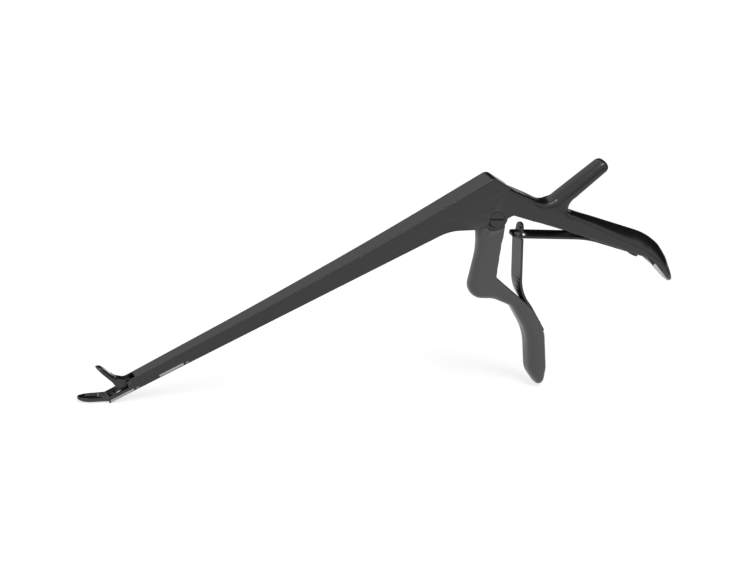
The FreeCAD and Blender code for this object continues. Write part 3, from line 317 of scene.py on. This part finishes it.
def coating(name, shade, roughness, grind, edge_round=0.00025, wear_and_highlight=0.35):
    """Satin black steel. Grind is the depth of its fine lines; the last sets its edges' paleness, wear and painted
    highlight.
    """
    material = bpy.data.materials.new(name)
    material.use_nodes = True
    tree = material.node_tree
    shader = tree.nodes["Principled BSDF"]
    place = tree.nodes.new("ShaderNodeTexCoord").outputs["Object"]

    def noise(scale, detail, stretch=(1, 1, 1)):
        """Noise whose first direction runs along the shaft."""
        mapping = tree.nodes.new("ShaderNodeMapping")
        mapping.inputs["Rotation"].default_value = (0, math.radians(stance), 0)
        mapping.inputs["Scale"].default_value = stretch
        link(tree, place, mapping.inputs["Vector"])
        node = tree.nodes.new("ShaderNodeTexNoise")
        node.inputs["Scale"].default_value = scale
        node.inputs["Detail"].default_value = detail
        link(tree, mapping.outputs["Vector"], node.inputs["Vector"])
        return node.outputs["Fac"]

    cloud = noise(CLOUD_SCALE, CLOUD_DETAIL)
    uneven = ranged(tree, cloud, 0.25, 0.75, roughness - SMOOTHER, roughness + ROUGHER)
    link(tree, uneven, shader.inputs["Roughness"])

    rounded = tree.nodes.new("ShaderNodeBevel")
    rounded.samples = EDGE_SAMPLES
    rounded.inputs["Radius"].default_value = edge_round
    facing = tree.nodes.new("ShaderNodeNewGeometry")
    turn = tree.nodes.new("ShaderNodeVectorMath")
    turn.operation = "DOT_PRODUCT"
    link(tree, rounded.outputs["Normal"], turn.inputs[0])
    link(tree, facing.outputs["Normal"], turn.inputs[1])
    # Rounded edges are painted paler here: partly wear, partly a painted highlight.
    edge = ranged(tree, turn.outputs["Value"], EDGE_FULL, EDGE_NONE, wear_and_highlight, 0.0)
    patches = ranged(tree, noise(PATCH_SCALE, FINE_DETAIL), 0.40, 0.62, 0.25, 1.0)
    patchy_wear_and_highlight = math_node(tree, "MULTIPLY", edge, patches)

    tint = tree.nodes.new("ShaderNodeMix")
    tint.data_type = "RGBA"
    tint.inputs["A"].default_value = (shade, shade, shade * COOL_CAST, 1)
    tint.inputs["B"].default_value = PALE_EDGE_WEAR_AND_HIGHLIGHT
    link(tree, patchy_wear_and_highlight, tint.inputs["Factor"])
    link(tree, tint.outputs["Result"], shader.inputs["Base Color"])

    lines = noise(LINE_SCALE, FINE_DETAIL, LINE_STRETCH)
    bump = tree.nodes.new("ShaderNodeBump")
    bump.inputs["Strength"].default_value = LINE_STRENGTH
    bump.inputs["Distance"].default_value = grind
    link(tree, lines, bump.inputs["Height"])
    link(tree, rounded.outputs["Normal"], bump.inputs["Normal"])
    link(tree, bump.outputs["Normal"], shader.inputs["Normal"])
    return material


finishes = {
    "black_coating": coating("satin_black_coating", 0.010, 0.20, 0.000004),
    "spring_steel": coating("blackened_spring_steel", 0.014, 0.28, 0.000004, edge_round=0.00012),
    "screw_steel": coating("blackened_screw_steel", 0.014, 0.26, 0.000002, edge_round=0.00015,
                           wear_and_highlight=0.5),
    "pin_steel": coating("ground_pin_steel", 0.03, 0.24, 0.000002, edge_round=0.00008, wear_and_highlight=0.5),
}
# The lever's copy of the black coating is painted lighter: a painted sheen for the light it catches.
painted_lighter_grip_finish = coating("satin_black_coating_painted_lighter", 0.075, 0.30, 0.000005)
slot_of = {part["node"]: part["material_slot"] for part in frame["record"]["subparts"]}
for name, node in nodes.items():
    node.data.materials.clear()
    node.data.materials.append(finishes[slot_of[name]])
print("coated", len(nodes), "pieces in", len(finishes), "finishes")

# %% [markdown]
# ## Forged handles
#
# The shaft is milled and has crisp edges, but the two handles are forged and then linished by
# hand: the horn flows into the neck, the palm side of the tail is a rounded back, and every tip is
# round. Milled solids can't show that softness, and sculpting it by hand would not repeat. So each
# handle is cut in two behind its machined end, which stays exactly as measured, and the forged end
# is rebuilt as an even skin of small faces. First come the tools that cut and rebuild.

# %% Tools that cut and rebuild
WELD = 1e-6
ON_PLANE = 1e-7
VOXEL = 0.0004


def welded(node_name):
    mesh = bmesh.new()
    mesh.from_mesh(nodes[node_name].data)
    bmesh.ops.remove_doubles(mesh, verts=mesh.verts, dist=WELD)
    return mesh


def part_beyond(mesh, place, direction):
    """A closed copy of what lies beyond a plane, on the side that direction points to."""
    part = mesh.copy()
    bmesh.ops.bisect_plane(part, geom=part.verts[:] + part.edges[:] + part.faces[:],
                           dist=ON_PLANE, plane_co=place, plane_no=direction, clear_inner=True)
    bmesh.ops.holes_fill(part, edges=[edge for edge in part.edges if edge.is_boundary], sides=0)
    return part


def even_skin(part, name):
    """The same form as one closed skin of small even faces."""
    data = bpy.data.meshes.new(name)
    part.to_mesh(data)
    holder = bpy.data.objects.new(name, data)
    scene.collection.objects.link(holder)
    remesh = holder.modifiers.new("even_faces", "REMESH")
    remesh.mode = "VOXEL"
    remesh.voxel_size = VOXEL
    remeshed = holder.evaluated_get(bpy.context.evaluated_depsgraph_get())
    skin = bpy.data.meshes.new_from_object(remeshed)
    bpy.data.objects.remove(holder)
    return skin


print("the forged skins have faces of", VOXEL * 1000, "mm")

# %% [markdown]
# ## Relaxing a skin
#
# A linishing belt takes most from what sticks out and leaves broad faces alone. Moving each point
# a little towards the middle of its neighbours does the same, and doing it in rounds sets how
# soft a spot becomes. Blender's Smooth modifier with a painted vertex group could do it too. Here
# the shares come from each point's distance to a spot and to the machined end, so that nothing
# has to be painted.

# %% Tools that relax
SMOOTH_STEP = 0.5


def points_of(mesh):
    points = np.empty(len(mesh.vertices) * 3)
    mesh.vertices.foreach_get("co", points)
    return points.reshape(-1, 3)


def edges_of(mesh):
    edges = np.empty(len(mesh.edges) * 2, dtype=np.int32)
    mesh.edges.foreach_get("vertices", edges)
    return edges.reshape(-1, 2)


def along_shaft(points):
    """The points in millimetres along, across and above the shaft."""
    moved = (points - np.array(hinge)) * 1000
    return np.column_stack([moved @ np.array(shaft_back), moved[:, 1],
                            moved @ np.array(shaft_up)])


def relaxed(points, edges, weights, rounds):
    """Each point drifts towards the middle of its neighbours, as far as its weight lets it."""
    neighbours = np.bincount(edges.ravel(), minlength=len(points))[:, None]
    for _ in range(rounds):
        total = np.zeros_like(points)
        np.add.at(total, edges[:, 0], points[edges[:, 1]])
        np.add.at(total, edges[:, 1], points[edges[:, 0]])
        points = points + (total / neighbours - points) * SMOOTH_STEP * weights[:, None]
    return points


def smoothstep(values, low, high):
    share = np.clip((values - low) / (high - low), 0, 1)
    return share * share * (3 - 2 * share)


print("each round moves a point", SMOOTH_STEP, "of the way to the middle of its neighbours")

# %% [markdown]
# ## Putting a handle together
#
# On the real handle the machined end and the forged end are one piece of steel. Here they are two
# closed forms that overlap by a hair, so no seam shows, and they make one piece. The skin is
# first reshaped where the handle asks for it, and then relaxed, but not beside the cut: its first
# fraction of a millimetre has to stay on the machined end.

# %% Tool that builds a forged piece
SEAM_OVERLAP = 0.0002
STILL_END, FREE_START = 0.0004, 0.003
SPOT_CORE = 0.45
SHARP_ANGLE = math.radians(32)


def forged(name, node_name, body, finish, cut, direction, soft_spots, rounds=4, reshape=None):
    """A handle with its forged end relaxed. Spots are (along, above, radius, rounds)."""
    whole = welded(node_name)
    overlap = direction * SEAM_OVERLAP
    both = part_beyond(whole, cut + overlap, -direction)
    skin = even_skin(part_beyond(whole, cut - overlap, direction), name)
    points, edges = points_of(skin), edges_of(skin)
    if reshape:
        points = reshape(points)
    depth = (points - np.array(cut)) @ np.array(direction)
    free = smoothstep(depth, STILL_END, FREE_START)
    for along, above, radius, spot_rounds in soft_spots:
        local = along_shaft(points)
        away = np.hypot(local[:, 0] - along, local[:, 2] - above)
        inside = 1 - smoothstep(away, radius * SPOT_CORE, radius)
        points = relaxed(points, edges, free * inside, spot_rounds)
    points = relaxed(points, edges, free, rounds)
    skin.vertices.foreach_set("co", points.ravel())
    both.from_mesh(skin)
    bpy.data.meshes.remove(skin)
    data = bpy.data.meshes.new(name)
    both.to_mesh(data)
    both.free()
    whole.free()
    data.shade_smooth()
    data.set_sharp_from_angle(angle=SHARP_ANGLE)
    data.materials.append(finish)
    piece = bpy.data.objects.new(name, data)
    scene.collection.objects.link(piece)
    even = piece.modifiers.new("even_shading", "WEIGHTED_NORMAL")
    even.keep_sharp = True
    even.weight = 100
    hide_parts(node_name)
    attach(piece, body)
    print(name, "has", len(data.polygons), "faces")


# %% [markdown]
# ## The fixed handle
#
# In the photograph the palm side of the tail is one broad black face that starts sharply at the
# tail's near side and rolls over to the far one. That is a D-shaped section: a flat belly for the
# spring and a round back. A new mesh could be lofted through such sections, but the measured form
# is already there, so its skin is moved square to the tail, in full on the back and not at all on
# the belly: up in the middle and down at the sides.

# %% Fixed handle
# Lines in the side view, as (along, above) in millimetres.
TAIL_BACK = ((28, -12.7), (50, -35.4), (55, -40.7), (58, -44.9), (61, -51.6), (63, -59))
TAIL_BELLY = ((28, -22.7), (55, -49.4), (58, -57.4), (61, -66))
# How far the back's sides drop and its middle rises, as (along, by) in millimetres.
SIDE_DROP = ((29, 0.0), (34.3, 1.1), (40, 1.6), (51.5, 2.7), (57, 3.0), (61, 2.2), (64, 0.8))
MIDDLE_RISE = ((29, 0.0), (38, 0.8), (54, 1.5), (60, 1.6), (64, 0.8))
TAIL_HALF = 5.7
BACK_MARGIN = 1.5
TAIL_SLOPE, LIP_SLOPE = 45.9, 66
LIP_START, LIP_END = 51, 61


def read_off(line, values):
    return np.interp(values, [place for place, height in line], [height for place, height in line])


def crowned(points):
    """Turns the flat back of the tail into a round one."""
    x, y, z = along_shaft(points).T
    back, belly = read_off(TAIL_BACK, x), read_off(TAIL_BELLY, x)
    height = np.clip((z - belly) / (back - belly), 0, 1) * (z < back + BACK_MARGIN)
    rise = read_off(MIDDLE_RISE, x)
    sideways = np.clip(np.abs(y) / TAIL_HALF, 0, 1) ** 2
    lift = (rise - (rise + read_off(SIDE_DROP, x)) * sideways) * height / 1000
    slope = TAIL_SLOPE + (LIP_SLOPE - TAIL_SLOPE) * smoothstep(x, LIP_START, LIP_END)
    slope = np.radians(slope)
    return points + (np.outer(np.sin(slope) * lift, shaft_back)
                     + np.outer(np.cos(slope) * lift, shaft_up))


VALLEY, CROTCH = (20.5, -5.2, 7, 40), (29.0, -11.5, 5, 40)
TAIL_TIP, HORN_TIP = (62.5, -61, 6, 50), (49, 1.5, 5, 12)
HANDLE_CUT = on_shaft(14.0, 0, 0)
forged("forged_fixed_handle", "handle_body", "handle", finishes["black_coating"], HANDLE_CUT,
       shaft_back, [VALLEY, CROTCH, TAIL_TIP, HORN_TIP], reshape=crowned)

# %% [markdown]
# ## The lever
#
# The lever is the handle that the fingers pull. Its head turns between the cheeks of the fixed
# handle and stays as machined. Below it the knee and the grip are forged, so the same tool builds
# it, with soft spots at the knee, in the throat behind it and at the grip's end. It looks greyer
# than the rest because of the light it catches, so its copy of the black coating is painted
# lighter: a painted sheen.

# %% Lever
KNEE, THROAT, GRIP_END = (-18, -29, 6, 12), (-8, -37, 7, 30), (-1.5, -79, 7, 60)
LEVER_CUT = on_shaft(0, 0, -9)
forged("forged_lever", "front_lever", "lever", painted_lighter_grip_finish, LEVER_CUT, -shaft_up,
       [KNEE, THROAT, GRIP_END], rounds=6)

# %% [markdown]
# ## The leaf springs
#
# Two leaf springs cross between the handles, and the tongue of one sits in the eye of the other.
# When the lever is squeezed both of them bend: each foot stays with its own handle, and the joint
# where they meet ends up halfway. A rigid piece can't do that, and an armature would be heavy for
# one bend. Here each spring is only sliced across every millimetre or so, and it is not blended
# between the handles.

# %% Sliced springs
SLICE = 0.0012


def sliced_leaf(name, node_name, start, end):
    """A copy of a spring's own form, cut across in thin slices from its foot to past its tip."""
    line = end - start
    mesh = welded(node_name)
    for step in range(1, int(line.length / SLICE)):
        bmesh.ops.bisect_plane(mesh, geom=mesh.verts[:] + mesh.edges[:] + mesh.faces[:],
                               dist=ON_PLANE, plane_co=start + line.normalized() * SLICE * step,
                               plane_no=line)
    data = bpy.data.meshes.new(name)
    mesh.to_mesh(data)
    mesh.free()
    data.shade_smooth()
    data.set_sharp_from_angle(angle=SHARP_ANGLE)
    data.materials.append(finishes["spring_steel"])
    leaf = bpy.data.objects.new(name, data)
    scene.collection.objects.link(leaf)
    return leaf


def bending_spring(name, node_name, foot, meeting):
    """A sliced copy of the spring, from its foot to as far again past where the leaves meet."""
    far_end = foot + (meeting - foot) * 2
    leaf = sliced_leaf(name, node_name, foot, far_end)
    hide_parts(node_name)
    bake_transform(leaf)
    print(name, "has", len(leaf.data.polygons), "faces")


def middle(name):
    low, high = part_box(name)
    return (low + high) / 2


meeting = on_shaft(7.6, 0, -12.2)
bending_spring("rear_spring", "rear_leaf_spring", middle("rear_spring_screw"),
               meeting)
bending_spring("front_spring", "front_leaf_spring",
               middle("front_spring_screw"), meeting)

# %% [markdown]
# ## The depth marks
#
# The lower bar carries bright bands along its lower edge, from 10 to 20 mm and from 30 to 40 mm
# behind the tip, each closed by a fine dark tick with its number behind it. They tell the surgeon
# how deep the jaws are. On the real bar the coating is removed there. An image could show that,
# but would need the bar unwrapped, so each mark is a film of bare brushed steel, a hundredth of a
# millimetre proud, that lies on the bar's slightly tapering side.

# %% Bare steel
FLECK_SCALE, FLECK_DETAIL = 1600, 4
FLECK_TINT = (0.75, 0.75, 0.76)
FLECK_ROUGHER = 0.12


def bare_steel(name, shade, roughness):
    material = bpy.data.materials.new(name)
    material.use_nodes = True
    tree = material.node_tree
    shader = tree.nodes["Principled BSDF"]
    place = tree.nodes.new("ShaderNodeTexCoord").outputs["Object"]
    fleck = tree.nodes.new("ShaderNodeTexNoise")
    fleck.inputs["Scale"].default_value = FLECK_SCALE
    fleck.inputs["Detail"].default_value = FLECK_DETAIL
    link(tree, place, fleck.inputs["Vector"])
    flecked = fleck.outputs["Fac"]
    tint = tree.nodes.new("ShaderNodeMix")
    tint.data_type = "RGBA"
    tint.inputs["A"].default_value = (*(shade * share for share in FLECK_TINT), 1)
    tint.inputs["B"].default_value = (shade, shade, shade, 1)
    link(tree, flecked, tint.inputs["Factor"])
    link(tree, tint.outputs["Result"], shader.inputs["Base Color"])
    uneven = ranged(tree, flecked, 0.3, 0.7, roughness, roughness + FLECK_ROUGHER)
    link(tree, uneven, shader.inputs["Roughness"])
    return material


bright_steel = bare_steel("bare_brushed_steel", 0.62, 0.5)
dark_line = bare_steel("burnt_dark_line", 0.012, 0.5)
print("two finishes for the marks:", bright_steel.name, "and", dark_line.name)

# %% [markdown]
# ## The bands and their ticks
#
# Each band is a long thin patch and each tick a short one, so one helper makes both from their
# outlines. Its points are laid on the bar's side, which is why the patches follow the taper.

# %% Bands and ticks
BAR_FRONT_HALF, BAR_REAR_HALF = 2.55, 3.75
TAPER_START, TAPER_END = -146.0, -14.0
FILM, FILM_SUNK = 0.012, 0.02
FILM_TOP_SHARE = 0.985
TICK_HALF, TICK_RISE = 0.13, 0.1


def bar_side(x_mm, z_mm, proud):
    """A point on the near side of the bar, whose thickness tapers towards the jaws."""
    share = min(max((x_mm - TAPER_START) / (TAPER_END - TAPER_START), 0), 1)
    half = BAR_FRONT_HALF + (BAR_REAR_HALF - BAR_FRONT_HALF) * share
    return on_shaft(x_mm, -half - proud, z_mm)


def film(name, corners, material, body="handle", place=bar_side):
    """A thin film with the given outline in millimetres, its edge sloping to the surface."""
    centre_x, centre_z = (sum(values) / len(corners) for values in zip(*corners))
    mesh = bmesh.new()
    rings = []
    for share, proud in ((1.0, -FILM_SUNK), (1.0, FILM / 2), (FILM_TOP_SHARE, FILM)):
        rings.append([mesh.verts.new(place(centre_x + (x - centre_x) * share,
                                           centre_z + (z - centre_z) * share, proud))
                      for x, z in corners])
    for low, high in zip(rings, rings[1:]):
        for i in range(len(corners)):
            j = (i + 1) % len(corners)
            mesh.faces.new((low[i], low[j], high[j], high[i]))
    mesh.faces.new(rings[-1])
    mesh.faces.new(rings[0][::-1])
    bmesh.ops.recalc_face_normals(mesh, faces=mesh.faces)
    data = bpy.data.meshes.new(name)
    mesh.to_mesh(data)
    mesh.free()
    piece = bpy.data.objects.new(name, data)
    scene.collection.objects.link(piece)
    data.materials.append(material)
    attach(piece, body)


# For each number: the band's front and rear end, its lower edge at both, its upper edge at both,
# and the middle of its tick, all in millimetres along and above the shaft.
BANDS = {"20": (-158.2, -148.9, 7.1, 7.12, 8.05, 7.95, -148.5),
         "40": (-138.6, -129.0, 7.06, 6.96, 8.0, 7.94, -128.6)}
for number, (front, rear, low_front, low_rear, top_front, top_rear, tick) in BANDS.items():
    band = [(front, low_front), (rear, low_rear), (rear, top_rear), (front, top_front)]
    film("depth_band_" + number, band, bright_steel)
    before, behind, top = tick - TICK_HALF, tick + TICK_HALF, top_rear + TICK_RISE
    line = [(before, low_rear), (behind, low_rear), (behind, top), (before, top)]
    film("depth_tick_" + number, line, dark_line)
print(len(BANDS), "bands and their ticks are on")

# %% [markdown]
# ## The numbers
#
# The two numbers stand behind their ticks and read along the shaft. They could be drawn in an
# image, but Blender's own letters stay sharp at any distance. Filled and given a hair of
# thickness, they are turned into meshes and laid on the bar's side like the bands.

# %% Numbers
NUMBER_HEIGHT = 1.25


def engraved_number(text, x_mm, z_mm):
    letters = bpy.data.curves.new("number_" + text, "FONT")
    letters.body = text
    letters.size = NUMBER_HEIGHT
    letters.extrude = FILM
    holder = bpy.data.objects.new("number_" + text, letters)
    scene.collection.objects.link(holder)
    bpy.context.view_layer.update()
    outlined = holder.evaluated_get(bpy.context.evaluated_depsgraph_get())
    mesh = bpy.data.meshes.new_from_object(outlined)
    bpy.data.objects.remove(holder)
    for vertex in mesh.vertices:
        flat = vertex.co.copy()
        vertex.co = bar_side(x_mm + flat.x, z_mm + flat.y, flat.z)
    piece = bpy.data.objects.new("depth_number_" + text, mesh)
    scene.collection.objects.link(piece)
    mesh.materials.clear()
    mesh.materials.append(bright_steel)
    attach(piece, "handle")


engraved_number("20", -148.1, 7.0)
engraved_number("40", -128.2, 6.85)
print("the depth marks are on")

# %% [markdown]
# ## The fitting mark
#
# Above the screw the sliding bar has a short fine line, probably a fitter's mark. It is too fine
# to cut from the solid, so it is a dark film too. It lies on the sliding bar's side and rides
# with it.

# %% Fitting mark
SLIDER_NEAR = 3.75
FITTING_MARK = [(1.3, 10.7), (3.7, 10.75), (4.0, 11.25), (3.6, 11.25), (3.5, 11.0), (1.3, 10.95)]


def slider_side(x_mm, z_mm, proud):
    return on_shaft(x_mm, -SLIDER_NEAR - proud, z_mm)


film("fitting_mark", FITTING_MARK, dark_line, body="slider", place=slider_side)
print("the fitting mark is on the sliding bar")
